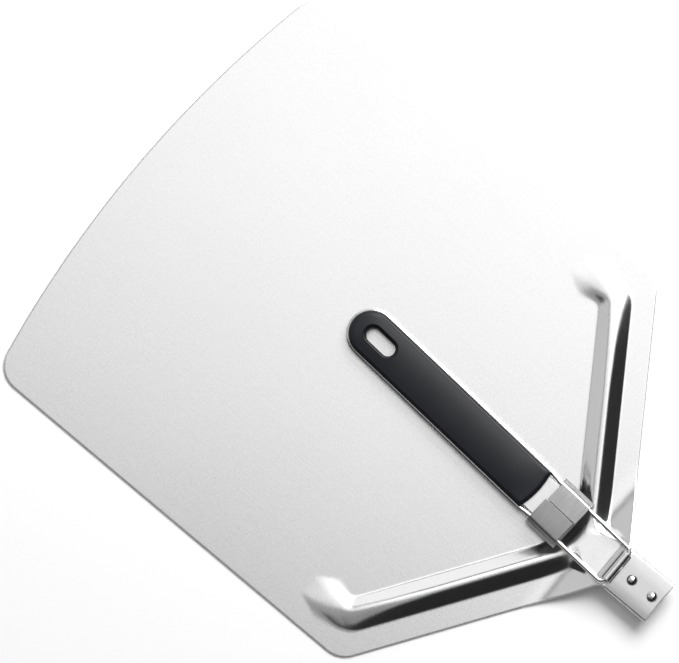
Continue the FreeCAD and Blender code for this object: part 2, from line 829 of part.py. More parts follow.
rounded = round_edges(
    collar,
    outer_pad,
    "collar_rounds",
    size("collar_corner"),
    lambda e: long_way(e) and e.BoundBox.ZMin > 0,
)
inner = collar_sketch(
    "collar_inner",
    box_corners(-(collar_half - gauge), collar_half - gauge, back + gauge, deep - gauge),
)
hollow = pocket(collar, inner, "collar_hollow", size("collar_length"), reverse=True)
inner_round = round_edges(
    collar,
    hollow,
    "collar_inner_rounds",
    size("collar_corner") - size("collar_sheet"),
    lambda e: long_way(e)
    and abs(e.BoundBox.ZMin - (deep - gauge).number) < 1e-6
    and abs(abs(e.BoundBox.YMin) - (collar_half - gauge).number) < 1e-6,
)
lip_top = back + gauge * 2
for sign, name in ((1, "left"), (-1, "right")):
    edge_y = collar_half * sign
    tip_y = (collar_half + size("collar_lip")) * sign
    low_y, high_y = (edge_y, tip_y) if sign > 0 else (tip_y, edge_y)
    lip = collar_sketch(f"collar_lip_{name}", box_corners(low_y, high_y, back, lip_top))
    pad(collar, lip, f"collar_lip_{name}_pad", size("collar_length"))
seam_y = size("collar_seam_offset")
seam_half = size("collar_seam") / 2
seam = collar_sketch("collar_seam_outline", box_corners(-seam_y - seam_half, -seam_y + seam_half, deep - 2, deep + 1))
pocket(collar, seam, "collar_seam_cut", size("collar_length"), reverse=True)
# each half of the wrap is trimmed at one end, so that the two ends stand out of step
step = size("collar_offset")
half_near = new_sketch(collar, "collar_step_near", "XY_Plane")
half_near.setExpression("AttachmentOffset.Base.z", "2 * Dims.collar_sheet - Dims.collar_back")
draw_outline(
    half_near,
    [
        (size("collar_start") - 1, -seam_y),
        (size("collar_start") + step, -seam_y),
        (size("collar_start") + step, collar_half + 0.5),
        (size("collar_start") - 1, collar_half + 0.5),
    ],
)
pocket(collar, half_near, "collar_step_near_cut", fixed(20), reverse=True)
half_far = new_sketch(collar, "collar_step_far", "XY_Plane")
half_far.setExpression("AttachmentOffset.Base.z", "2 * Dims.collar_sheet - Dims.collar_back")
collar_end = size("collar_start") + size("collar_length")
draw_outline(
    half_far,
    [
        (collar_end - step, -collar_half - 0.5),
        (collar_end + 1, -collar_half - 0.5),
        (collar_end + 1, -seam_y),
        (collar_end - step, -seam_y),
    ],
)
pocket(collar, half_far, "collar_step_far_cut", fixed(20), reverse=True)
keep("locking_collar", collar)

# ------------------------------------------------------------------ places, checks and files
HANDLE_PIECES = [
    "wire_frame",
    "core_plate",
    "grip_front_shell",
    "grip_back_shell",
    "locking_collar",
]
for label in HANDLE_PIECES:
    subparts[label].Placement = handle_place
for label, x in screw_offsets.items():
    subparts[label].Placement = handle_place.multiply(FreeCAD.Placement(V(x.number, 0, 0), FreeCAD.Rotation()))
doc.recompute()

for item in doc.Objects:
    bad = [state for state in item.State if state in ("Invalid", "Error")]
    if bad:
        raise RuntimeError(f"{item.Label} is {bad}")
os.makedirs("parts", exist_ok=True)
for label, feature in subparts.items():
    shape = feature.Shape
    if shape.isNull() or not shape.isValid():
        raise RuntimeError(f"{label} has no valid shape")
    box = shape.BoundBox
    print(
        f"{label}: {len(shape.Solids)} solid, {shape.Volume:.0f} mm3,",
        f"x {box.XMin:.2f}..{box.XMax:.2f}, y {box.YMin:.2f}..{box.YMax:.2f}, z {box.ZMin:.2f}..{box.ZMax:.2f}",
    )
    shape.exportStep(f"parts/{label}.step")
axis_text = f"{hinge_axis.x:.6f}, {hinge_axis.y:.6f}, 0"
slide_way = folded.multVec(V(-1, 0, 0))
print(f"hinge at {hinge_x.number:.3f}, 0, {hinge_height.number:.3f} along {axis_text}")
print(f"collar slides along {slide_way.x:.6f}, {slide_way.y:.6f}, {slide_way.z:.6f}")
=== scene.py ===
import json
import math

import bmesh
import bpy
import numpy as np
from mathutils import Matrix, Vector


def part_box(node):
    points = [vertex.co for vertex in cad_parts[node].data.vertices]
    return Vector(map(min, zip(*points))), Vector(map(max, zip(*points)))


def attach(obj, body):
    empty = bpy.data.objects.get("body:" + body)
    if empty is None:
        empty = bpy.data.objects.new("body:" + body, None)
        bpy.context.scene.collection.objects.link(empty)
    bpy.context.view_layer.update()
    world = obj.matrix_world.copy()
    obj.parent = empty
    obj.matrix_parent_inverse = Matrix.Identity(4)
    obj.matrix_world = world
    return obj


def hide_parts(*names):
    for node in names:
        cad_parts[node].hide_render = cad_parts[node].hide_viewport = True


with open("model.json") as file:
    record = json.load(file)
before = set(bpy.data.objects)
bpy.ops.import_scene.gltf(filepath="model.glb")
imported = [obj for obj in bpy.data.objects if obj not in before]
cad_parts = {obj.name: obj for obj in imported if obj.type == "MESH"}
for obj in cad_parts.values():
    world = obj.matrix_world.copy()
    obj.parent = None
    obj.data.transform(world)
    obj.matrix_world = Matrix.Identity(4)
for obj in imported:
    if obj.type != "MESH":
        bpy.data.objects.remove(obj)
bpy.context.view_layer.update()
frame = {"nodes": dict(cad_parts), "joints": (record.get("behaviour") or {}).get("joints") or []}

# ---------------------------------------------------------------------------------------------- blade
# The blade is one pressing from brushed stainless sheet. Its front edge is a shallow curve, a hollow
# bead stiffens both rear edges and turns the side corners, and the neck between the beads climbs to a
# narrow raised tail. Its edges are deburred, so they carry a small round.


class Field:
    """A node socket that takes part in sums, each of which adds its Math node."""

    def __init__(self, wiring, socket):
        self.wiring = wiring
        self.socket = socket

    def combine(self, operation, first, second):
        return self.wiring.add("ShaderNodeMath", {"operation": operation}, {0: first, 1: second})

    def __add__(self, other):
        return self.combine("ADD", self, other)

    def __radd__(self, other):
        return self.combine("ADD", other, self)

    def __sub__(self, other):
        return self.combine("SUBTRACT", self, other)

    def __rsub__(self, other):
        return self.combine("SUBTRACT", other, self)

    def __mul__(self, other):
        return self.combine("MULTIPLY", self, other)

    def __rmul__(self, other):
        return self.combine("MULTIPLY", other, self)

    def __truediv__(self, other):
        return self.combine("DIVIDE", self, other)

    def __rtruediv__(self, other):
        return self.combine("DIVIDE", other, self)


class Wiring:
    """A node tree whose nodes all come from add()."""

    def __init__(self, tree):
        self.tree = tree

    def add(self, kind, settings=None, sockets=None, output=0):
        node = self.tree.nodes.new(kind)
        for key, setting in (settings or {}).items():
            setattr(node, key, setting)
        for key, amount in (sockets or {}).items():
            self.feed(node.inputs[key], amount)
        return Field(self, node.outputs[output])

    def feed(self, socket, amount):
        if isinstance(amount, Field):
            self.tree.links.new(amount.socket, socket)
        else:
            socket.default_value = amount


class Finish(Wiring):
    """A material of one Principled surface."""

    def __init__(self, name):
        self.material = bpy.data.materials.new(name)
        self.material.use_nodes = True
        super().__init__(self.material.node_tree)
        self.surface = self.tree.nodes["Principled BSDF"]

    def set(self, **sockets):
        for key, amount in sockets.items():
            self.feed(self.surface.inputs[key.replace("_", " ")], amount)

    def place(self):
        return self.add("ShaderNodeTexCoord", output=3)

    def stretched(self, scale):
        """Object coordinates scaled by scale, for grain that runs one way."""
        return self.add("ShaderNodeMapping", sockets={"Vector": self.place(), "Scale": scale})

    def noise(self, vector, detail=2.0, roughness=0.5, scale=1.0):
        return self.add(
            "ShaderNodeTexNoise",
            sockets={"Vector": vector, "Scale": scale, "Detail": detail, "Roughness": roughness},
        )

    def mix_colours(self, share, dark, light):
        return self.add(
            "ShaderNodeMix",
            {"data_type": "RGBA"},
            {0: share, 6: (*dark, 1), 7: (*light, 1)},
            output=2,
        )

    def bump(self, height, strength, distance):
        sockets = {"Height": height, "Strength": strength, "Distance": distance}
        return self.add("ShaderNodeBump", sockets=sockets)


def smooth_least(a, b, reach):
    """The smaller of two heights, rounded where they cross."""
    share = np.maximum(reach - np.abs(a - b), 0) / reach
    return np.minimum(a, b) - share * share * reach / 4


def smooth_most(a, b, reach):
    """The larger of two heights, rounded where they cross."""
    return -smooth_least(-a, -b, reach)


def ease(amount):
    """0 below 0, 1 above 1, with level ends."""
    amount = np.clip(amount, 0, 1)
    return amount * amount * (3 - 2 * amount)


def arc_points(centre, radius, start, end, count):
    angles = np.linspace(start, end, count, endpoint=False)
    return np.stack([centre[0] + radius * np.cos(angles), centre[1] + radius * np.sin(angles)], 1)


def line_points(start, end, count):
    share = np.linspace(0, 1, count, endpoint=False)[:, None]
    return np.array(start)[None] * (1 - share) + np.array(end)[None] * share


def mesh_piece(name, points, faces, material, body, slot, nodes):
    """A finished piece whose points are in millimetres in the row frame."""
    mesh = bpy.data.meshes.new(name)
    mesh.from_pydata([tuple(p) for p in np.asarray(points) * 0.001], [], [tuple(f) for f in faces])
    mesh.validate()
    mesh.update()
    mesh.shade_smooth()
    piece = bpy.data.objects.new(name, mesh)
    bpy.context.scene.collection.objects.link(piece)
    piece.data.materials.append(material)
    finish_piece(piece, body, nodes)
    return piece


def finish_piece(piece, body, nodes):
    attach(piece, body)
    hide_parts(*nodes)


def weld(mesh, distance=0.00001):
    """Merges doubled points, drops slivers and points every face outwards."""
    work = bmesh.new()
    work.from_mesh(mesh)
    bmesh.ops.remove_doubles(work, verts=work.verts, dist=distance)
    bmesh.ops.dissolve_degenerate(work, edges=work.edges, dist=distance / 10)
    bmesh.ops.recalc_face_normals(work, faces=work.faces)
    work.to_mesh(mesh)
    work.free()


mm = 1000.0
blade_low, blade_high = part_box("blade")
front_x = blade_low.x * mm
tail_end_x = blade_high.x * mm
half_width = blade_high.y * mm
sheet = 1.2
tail_top = blade_high.z * mm
front_radius = 735.0
corner_radius = 17.5
rear_angle = math.radians(56.1)
side_length = 290.7
tail_half = 13.4
neck_fillet = 8.0
rear_corner = np.array([front_x + side_length, half_width])
along_rear = np.array([math.cos(rear_angle), -math.sin(rear_angle)])
into_blade = np.array([-math.sin(rear_angle), -math.cos(rear_angle)])
front_centre = (front_x + front_radius, 0.0)
bead_zone = 40.0
bead_run_out = 62.0
inner_corner_radius = 4.0
apex_x = rear_corner[0] + (half_width * math.cos(rear_angle) - bead_zone) / math.sin(rear_angle)


def half_outline(inset, radius, counts):
    """The blade's outline on its +Y side, set in by inset, from the front's middle to the neck."""
    reach = radius * math.tan(rear_angle / 2)
    side_y = half_width - inset
    inner_radius = front_radius - inset
    centre_y = side_y - radius
    front_corner = np.array(
        [front_centre[0] - math.sqrt((inner_radius - radius) ** 2 - centre_y**2), centre_y]
    )
    lean = math.atan2(centre_y, front_corner[0] - front_centre[0])
    virtual = rear_corner + into_blade * inset
    virtual = virtual + along_rear * (virtual[1] - side_y) / math.sin(rear_angle)
    corner_centre = np.array([virtual[0] - reach, side_y - radius])
    front_n, turn_n, side_n, bead_n, corner_n = counts
    bead_start = (corner_centre[0] - bead_run_out, side_y)
    return np.concatenate(
        [
            arc_points(front_centre, inner_radius, math.pi, lean, front_n),
            arc_points(front_corner, radius, lean, math.pi / 2, turn_n),
            line_points((front_corner[0], side_y), bead_start, side_n),
            line_points(bead_start, (corner_centre[0], side_y), bead_n),
            arc_points(corner_centre, radius, math.pi / 2, math.pi / 2 - rear_angle, corner_n),
        ]
    ), corner_centre + radius * np.array([math.sin(rear_angle), math.cos(rear_angle)])


OUTLINE_COUNTS = (20, 10, 24, 44, 16)
REAR_COARSE = 52
REAR_FINE = 52
FILLET_COUNT = 40
TAIL_COUNT = 26
outer_front, outer_rear_start = half_outline(0.0, corner_radius, OUTLINE_COUNTS)
inner_front, inner_rear_start = half_outline(bead_zone, inner_corner_radius, OUTLINE_COUNTS)
neck_corner = rear_corner + along_rear * (half_width - tail_half) / math.sin(rear_angle)
fillet_reach = neck_fillet * math.tan(rear_angle / 2)
fillet_start = neck_corner - along_rear * fillet_reach
fillet_centre = (neck_corner[0] + fillet_reach, tail_half + neck_fillet)
coarse_share = 0.68
outer_break = outer_rear_start + (fillet_start - outer_rear_start) * coarse_share
inner_apex = np.array([apex_x, 0.0])
inner_break = inner_rear_start + (inner_apex - inner_rear_start) * coarse_share
tail_corner = 1.5
tail_shoulder = 4.0
tail_lip = 0.6
outer_curve = np.concatenate(
    [
        outer_front,
        line_points(outer_rear_start, outer_break, REAR_COARSE),
        line_points(outer_break, fillet_start, REAR_FINE),
        arc_points(fillet_centre, neck_fillet, 1.5 * math.pi - rear_angle, 1.5 * math.pi, FILLET_COUNT),
        line_points((fillet_centre[0], tail_half), (tail_end_x - tail_corner, tail_half), TAIL_COUNT),
        arc_points((tail_end_x - tail_corner, tail_half - tail_corner), tail_corner, math.pi / 2, 0, 6),
        line_points((tail_end_x, tail_half - tail_corner), (tail_end_x, 0), 12),
        [(tail_end_x, 0)],
    ]
)
inner_curve = np.concatenate(
    [
        inner_front,
        line_points(inner_rear_start, inner_break, REAR_COARSE),
        line_points(inner_break, inner_apex, REAR_FINE),
        line_points(inner_apex, (fillet_centre[0], 0), FILLET_COUNT),
        line_points((fillet_centre[0], 0), (tail_end_x - tail_shoulder, 0), TAIL_COUNT),
        line_points((tail_end_x - tail_shoulder, 0), (tail_end_x - tail_lip, 0), 18),
        [(tail_end_x - tail_lip, 0)],
    ]
)
flat_columns = len(outer_front) + REAR_COARSE + REAR_FINE + 1
front_count, turn_count, side_count, bead_count, corner_count = OUTLINE_COUNTS
# where the outline's sections meet the blade's middle line
stations = (inner_front[0][0], -146, 18, 52, 60, 110, apex_x)
station_counts = (front_count + turn_count, side_count, bead_count, corner_count, REAR_COARSE, REAR_FINE)
axis_x = np.concatenate(
    [
        np.linspace(start, end, count, endpoint=False)
        for start, end, count in zip(stations, stations[1:], station_counts)
    ]
    + [[apex_x]]
)

bead_foot = 14.4
bead_inner_foot = 34.2
bead_height = 5.5
bead_start_x = 36.0
bead_rise_run = 46.0
corner_blend = 9.0
apex_blend = 22.0
side_blend = 3.0
crown_blend = 2.0
crest_blend = 1.6
steep = 0.62
inner_steep = 0.66
gentle = 0.16
shoulder = 2.2
shoulder_run = 7.0
facet_rise = 0.285
facet_width_full = 7.0
facet_start = 9.5
facet_taper = 37.0
facet_curve = 0.85
facet_blend = 0.6
facet_growth = 3.0
facet_growth_start = 46.0
facet_growth_run = 30.0
leg_end_x = 48.0
leg_fade = 22.0
leg_softness = 3.5
leg_slack = 0.4
foot_blend = 0.5
channel_narrow = 6.6
channel_spread = 10.0
channel_start_x = 134.0
channel_run = 24.0
channel_steep = 0.95
channel_blend = 1.8
neck_start_x = 138.0
neck_run = 12.0
neck_lift = 3.9
neck_lift_start_x = 145.0
neck_lift_run = 32.0
tail_rise_start_x = 141.0
tail_rise_run = 36.0
tail_rise_curve = 1.5


def blade_height(x, y):
    """The sheet's upper face: a bead along the rear edges and round the corners, and the raised neck."""
    across = np.abs(y)
    from_side = half_width - across
    dx = x - rear_corner[0]
    dy = across - rear_corner[1]
    from_rear = dx * into_blade[0] + dy * into_blade[1]
    from_other = dx * into_blade[0] + (-across - rear_corner[1]) * into_blade[1]
    run = dx * along_rear[0] + dy * along_rear[1]
    inset = smooth_least(from_rear, from_side, corner_blend)
    inner_inset = smooth_least(smooth_least(from_rear, from_other, apex_blend), from_side, side_blend)
    leg = 1 - ease((x - leg_end_x) / leg_fade)
    neck = ease((x - neck_start_x) / neck_run)
    # the steep facet narrows to a point short of the corner, where a softer shoulder takes over
    facet_width = facet_width_full * np.clip((run - facet_start) / facet_taper, 0, 1) ** facet_curve
    facet_width += facet_growth * ease((run - facet_growth_start) / facet_growth_run)
    climb = inset - bead_foot
    softer = gentle * climb + shoulder * (1 - np.exp(-np.clip(climb, 0, None) / shoulder_run))
    outer = smooth_least(steep * climb, softer + facet_rise * facet_width, facet_blend)
    # the neck's channel: its walls spread from between the two beads to just outside the tail
    channel_half = channel_narrow + channel_spread * ease((x - channel_start_x) / channel_run)
    outer = smooth_most(outer, channel_steep * (channel_half - across), channel_blend + 2.0 * neck)
    outer = smooth_most(outer, 0.0, foot_blend + leg)
    inner = inner_steep * (1 - leg_slack * leg) * (bead_inner_foot - inner_inset)
    inner = smooth_most(inner, 0.0, foot_blend + 1.6 * leg)
    rim = (tail_top - sheet) * ease((x - tail_rise_start_x) / tail_rise_run) ** tail_rise_curve
    crest = bead_height + neck_lift * ease((x - neck_lift_start_x) / neck_lift_run)
    crest *= ease((x - bead_start_x) / bead_rise_run)
    relief = np.maximum(crest - rim, 0)
    crown = smooth_least(outer, inner, crown_blend + leg_softness * leg)
    raised = smooth_least(crown, relief, crest_blend + 1.4 * neck)
    return sheet + rim + np.clip(raised, 0, None)


def blade_normal(x, y):
    step = 0.02
    slope_x = (blade_height(x + step, y) - blade_height(x - step, y)) / (2 * step)
    slope_y = (blade_height(x, y + step) - blade_height(x, y - step)) / (2 * step)
    normal = np.stack([-slope_x, -slope_y, np.ones_like(x)], -1)
    return normal / np.linalg.norm(normal, axis=-1, keepdims=True)


edge_round = 0.5
edge_share = 0.29
bead_rows = np.concatenate(
    [[edge_round, 1.2, 4, 7.5, 11], np.arange(13.0, 36.6, 0.62), [37.3, 38.6, bead_zone]]
)
flat_rows = np.concatenate([np.linspace(0, 0.12, 3)[1:], np.linspace(0.12, 1, 9)[1:]])


def blade_side(sign):
    """Plan points of one half: rows run inwards from the edge, columns run round the outline."""
    rows = []
    for inset in bead_rows:
        rows.append(outer_curve + (inner_curve - outer_curve) * inset / bead_zone)
    grid = np.stack(rows)
    middle = np.stack([axis_x, np.zeros_like(axis_x)], 1)
    flat = np.stack(
        [inner_curve[:flat_columns] * (1 - share) + middle * share for share in flat_rows]
    )
    grid[..., 1] *= sign
    flat[..., 1] *= sign
    return grid, flat


points = []
faces = []


def add_grid(grid, flip):
    """Adds a grid of 3-D points and its faces."""
    base = len(points)
    rows, columns = grid.shape[:2]
    points.extend(grid.reshape(-1, 3))
    for i in range(rows - 1):
        for j in range(columns - 1):
            a = base + i * columns + j
            face = (a, a + 1, a + columns + 1, a + columns)
            faces.append(face[::-1] if flip else face)


for sign in (1, -1):
    grid, flat = blade_side(sign)
    for plan in (grid, np.concatenate([grid[-1:, :flat_columns], flat])):
        x, y = plan[..., 0], plan[..., 1]
        upper = np.stack([x, y, blade_height(x, y)], -1)
        lower = upper - blade_normal(x, y) * sheet
        add_grid(upper, sign < 0)
        add_grid(lower, sign > 0)
    # the deburred edge, from the upper face round to the lower face
    first = outer_curve * np.array([1, sign])
    inward = (inner_curve - outer_curve) / bead_zone * np.array([1, sign])
    ring = []
    for inset, drop in (
        (edge_round, 0.0),
        (edge_round * edge_share, edge_round * edge_share),
        (0.0, edge_round),
        (0.0, sheet - edge_round),
        (edge_round * edge_share, sheet - edge_round * edge_share),
        (edge_round, sheet),
    ):
        plan = first + inward * inset
        z = blade_height(plan[:, 0], plan[:, 1])
        top = np.stack([plan[:, 0], plan[:, 1], z], -1)
        ring.append(top - blade_normal(plan[:, 0], plan[:, 1]) * drop)
    add_grid(np.stack(ring), sign > 0)

brushed = Finish("brushed_blade_steel")
fine_grain = brushed.noise(brushed.stretched((700, 4200, 1)), detail=3.0, roughness=0.65)
long_grain = brushed.noise(brushed.stretched((30, 900, 1)), detail=2.0)
cloudy = brushed.noise(brushed.stretched((7, 9, 1)), detail=2.0)
level = 1 - brushed.add("ShaderNodeAttribute", {"attribute_name": "steepness"}, output=2)
brushed.set(
    Base_Color=brushed.mix_colours(fine_grain * 0.7 + cloudy * 0.3, (0.74, 0.74, 0.745), (0.9, 0.9, 0.9)),
    Metallic=1.0,
    Roughness=0.16 + fine_grain * 0.03 + level * (0.04 + fine_grain * 0.07 + long_grain * 0.06),
    Normal=brushed.bump((fine_grain * 0.85 + long_grain * 0.15) * (0.3 + level * 0.7), 0.36, 0.00005),
)
blade = mesh_piece("blade_pressing", points, faces, brushed.material, "blade_body", "blade_steel", ["blade"])
weld(blade.data)
blade.data.shade_smooth()
# the press rubs the grain off the steep faces, most of all along the straight beads
places = np.array([tuple(vertex.co) for vertex in blade.data.vertices]) * mm
full_rub = 0.1
rub_start_x = 60.0
rub_run = 40.0
steepness = np.clip((1 - blade_normal(places[:, 0], places[:, 1])[:, 2]) / full_rub, 0, 1)
steepness *= ease((places[:, 0] - rub_start_x) / rub_run)
blade.data.attributes.new("steepness", "FLOAT", "POINT").data.foreach_set("value", steepness)


# -------------------------------------------------------------------------------------- hinge bracket
# A stainless plate lies on the tail with its two sides bent down over it. Its narrower front is curled
# up and back into the hinge barrel, and the curl's free edge rests on the plate.


def ribbon(middle, gauge):
    """The closed outline of a sheet of that gauge, whose middle follows these 2-D points."""
    middle = np.asarray(middle, float)
    ahead = np.gradient(middle, axis=0)
    ahead /= np.linalg.norm(ahead, axis=1, keepdims=True)
    side = np.stack([-ahead[:, 1], ahead[:, 0]], 1) * gauge / 2
    return np.concatenate([middle + side, (middle - side)[::-1]])


def loft(loops, capped=True):
    """Points and faces of closed loops of equal length joined in order, with both ends capped."""
    loops = np.asarray(loops, float)
    count, around = loops.shape[:2]
    faces = []
    for i in range(count - 1):
        for j in range(around):
            k = (j + 1) % around
            faces.append((i * around + j, i * around + k, (i + 1) * around + k, (i + 1) * around + j))
    if capped:
        faces.append(tuple(range(around))[::-1])
        faces.append(tuple(range((count - 1) * around, count * around)))
    return loops.reshape(-1, 3), faces


def join(*solids):
    """One list of points and faces from several."""
    points = []
    faces = []
    for solid_points, solid_faces in solids:
        base = len(points)
        points.extend(np.asarray(solid_points))
        faces.extend(tuple(index + base for index in face) for face in solid_faces)
    return points, faces


def soften(piece, width, segments=3, sharp=35):
    """Rounds the hard edges by width in millimetres and welds the piece's normals outward."""
    weld(piece.data)
    bevel = piece.modifiers.new("edge", "BEVEL")
    bevel.width = width * 0.001
    bevel.segments = segments
    bevel.limit_method = "ANGLE"
    bevel.angle_limit = math.radians(sharp)
    bevel.harden_normals = True
    shape = bpy.data.meshes.new_from_object(piece.evaluated_get(bpy.context.evaluated_depsgraph_get()))
    piece.modifiers.clear()
    piece.data = shape


bracket_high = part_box("hinge_bracket")[1]
fold = next(joint for joint in frame["joints"] if joint["name"] == "handle_fold")
hinge = Vector(fold["pos_m"])
plate_gauge = 1.1
plate_top = tail_top + plate_gauge
bracket_half = bracket_high.y * mm
bracket_end = bracket_high.x * mm
plate_mid = plate_top - plate_gauge / 2
flange_mid = bracket_half - plate_gauge / 2
flange_foot = 9.35
flange_top = 11.2
flange_start_x = 177.1
flange_inner = bracket_half - 1.7
curl_foot_x = 175.1
end_bow = 0.7
bend = 1.05
flange = [(flange_mid, flange_foot), (flange_mid, flange_top)]
for a in np.linspace(0, math.pi / 2, 7):
    flange.append((flange_mid - bend * (1 - math.cos(a)), plate_mid - bend * (1 - math.sin(a))))
channel = np.array(flange + [(5.0, plate_mid), (0.0, plate_mid)])
channel = np.concatenate([channel, channel[-2::-1] * [-1, 1]])
channel_loop = ribbon(channel, plate_gauge)
plate_start = np.where(np.abs(channel_loop[:, 0]) < flange_inner, curl_foot_x, flange_start_x)
plate_end = bracket_end - end_bow * (1 - (channel_loop[:, 0] / bracket_half) ** 2)
channel_loops = [
    np.column_stack([plate_start + (plate_end - plate_start) * share, channel_loop])
    for share in (0, 0.12, 0.5, 0.95, 1)
]
barrel_mid = bracket_high.z * mm - hinge.z * mm - plate_gauge / 2
curl = np.radians(np.linspace(-90, -413, 60))
curl_line = [(curl_foot_x, plate_mid)] + [
    (hinge.x * mm + barrel_mid * math.cos(a), hinge.z * mm + barrel_mid * math.sin(a)) for a in curl
]
curl_loop = ribbon(curl_line, plate_gauge)
barrel_half = 10.4
curl_loops = [
    np.column_stack([curl_loop[:, 0], np.full(len(curl_loop), y), curl_loop[:, 1]])
    for y in (-barrel_half, 0, barrel_half)
]
satin = Finish("satin_bracket_steel")
satin_grain = satin.noise(satin.stretched((90, 2600, 90)), detail=3.0)
satin.set(
    Base_Color=satin.mix_colours(satin_grain, (0.62, 0.62, 0.62), (0.84, 0.84, 0.84)),
    Metallic=1.0,
    Roughness=0.2 + satin_grain * 0.1,
    Normal=satin.bump(satin_grain, 0.15, 0.00002),
)
bracket = mesh_piece(
    "bracket_plate",
    *join(loft(channel_loops), loft(curl_loops)),
    satin.material,
    "blade_body",
    "bracket_steel",
    ["hinge_bracket"],
)
soften(bracket, 0.32)

# --------------------------------------------------------------------------------------------- rivets
# Two round-head rivets of polished steel go through plate and tail and are clinched underneath. Each is
# a half profile turned about its own upright axis.


class Former(Wiring):
    """A Geometry Nodes tree with named sizes that forms a plain mesh from a piece's bare line."""

    def __init__(self, name, sizes):
        super().__init__(bpy.data.node_groups.new(name, "GeometryNodeTree"))
        self.tree.interface.new_socket("Line", in_out="INPUT", socket_type="NodeSocketGeometry")
        for size, kind in sizes.items():
            self.tree.interface.new_socket(size, in_out="INPUT", socket_type="NodeSocket" + kind)
        self.tree.interface.new_socket("Shape", in_out="OUTPUT", socket_type="NodeSocketGeometry")
        self.source = self.tree.nodes.new("NodeGroupInput")

    def given(self, name):
        return Field(self, self.source.outputs[name])

    def close(self, shape, material):
        single = self.add("GeometryNodeRealizeInstances", sockets={"Geometry": shape})
        coated = self.add("GeometryNodeSetMaterial", sockets={"Geometry": single, "Material": material})
        self.feed(self.tree.nodes.new("NodeGroupOutput").inputs["Shape"], coated)

    def form(self, name, line, sizes):
        """A piece from points along a line, in metres, with this tree's shape made its plain mesh."""
        mesh = bpy.data.meshes.new(name + "_line")
        mesh.from_pydata([tuple(p) for p in line], [(i, i + 1) for i in range(len(line) - 1)], [])
        piece = bpy.data.objects.new(name, mesh)
        bpy.context.scene.collection.objects.link(piece)
        forming = piece.modifiers.new("forming", "NODES")
        forming.node_group = self.tree
        for item in self.tree.interface.items_tree:
            if item.name in sizes:
                forming[item.identifier] = sizes[item.name]
        shape = bpy.data.meshes.new_from_object(
            piece.evaluated_get(bpy.context.evaluated_depsgraph_get())
        )
        piece.modifiers.clear()
        piece.data = shape
        return piece


polished = Finish("polished_rivet_steel")
polished_haze = polished.noise(polished.place(), detail=4.0, scale=900)
polished.set(
    Base_Color=(0.72, 0.72, 0.72, 1),
    Metallic=1.0,
    Roughness=0.12 + polished_haze * 0.1,
)
turning = Former("turning", {"Axis": "Vector", "Steps": "Int", "Rows": "Int"})
around = turning.given("Steps") + 1
blank = turning.add(
    "GeometryNodeMeshGrid", sockets={"Vertices X": turning.given("Rows"), "Vertices Y": around}
)
count = turning.add("GeometryNodeInputIndex")
row = turning.add("ShaderNodeMath", {"operation": "FLOOR"}, {0: (count + 0.5) / around})
step = count - row * around
corner = turning.add(
    "GeometryNodeSampleIndex",
    {"data_type": "FLOAT_VECTOR", "domain": "POINT"},
    {"Geometry": turning.given("Line"), "Value": turning.add("GeometryNodeInputPosition"), "Index": row},
)
swung = turning.add(
    "ShaderNodeVectorRotate",
    {"rotation_type": "Z_AXIS"},
    {"Vector": corner, "Center": turning.given("Axis"), "Angle": step * 2 * math.pi / turning.given("Steps")},
)
placed = turning.add("GeometryNodeSetPosition", sockets={"Geometry": blank, "Position": swung})
closed = turning.add("GeometryNodeMergeByDistance", sockets={"Geometry": placed, "Distance": 0.000005})
turning.close(closed, polished.material)

shank_radius = 1.7
clinch_radius = 2.7
clinch_edge = 0.3
clinch_top = 10.9
head_edge = 0.14
for node in ("rivet_front", "rivet_rear"):
    low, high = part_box(node)
    axis = ((low.x + high.x) / 2, (low.y + high.y) / 2, 0)
    head_radius = (high.x - low.x) * mm / 2
    head_height = high.z * mm - plate_top
    dome = (head_radius**2 + head_height**2) / (2 * head_height)
    rim_angle = math.asin(head_radius / dome)
    profile = [(0, low.z * mm), (clinch_radius - clinch_edge, low.z * mm)]
    profile += [(clinch_radius, low.z * mm + clinch_edge), (clinch_radius, clinch_top)]
    profile += [(shank_radius, clinch_top), (shank_radius, plate_top)]
    profile += [(head_radius - head_edge, plate_top), (head_radius, plate_top + head_edge)]
    profile += [
        (dome * math.sin(a), high.z * mm - dome * (1 - math.cos(a)))
        for a in np.linspace(rim_angle * 0.97, 0, 14)
    ]
    line = [(axis[0] + radius / mm, axis[1], height / mm) for radius, height in profile]
    rivet = turning.form(node + "_head", line, {"Axis": axis, "Steps": 48, "Rows": len(line)})
    weld(rivet.data)
    rivet.data.shade_smooth()
    rivet.data.set_sharp_from_angle(angle=math.radians(50))
    finish_piece(rivet, "blade_body", [node])

# ----------------------------------------------------------------------------------------- wire frame
# The handle's two legs are one length of round polished wire. Its ends are bent in as pins that turn
# in the barrel, and its far bend lies inside the grip's tip.
slide = next(joint for joint in frame["joints"] if joint["name"] == "collar_slide")
along_handle = -Vector(slide["axis"])
up_handle = Vector(fold["axis"]).cross(along_handle).normalized()
across_handle = up_handle.cross(along_handle)
handle_axes = np.array([along_handle, across_handle, up_handle])


def from_handle(points):
    """Row-frame millimetres from points in the handle's own frame: hinge at 0, X towards the tip."""
    return np.asarray(points, float) @ handle_axes + np.array(hinge) * mm


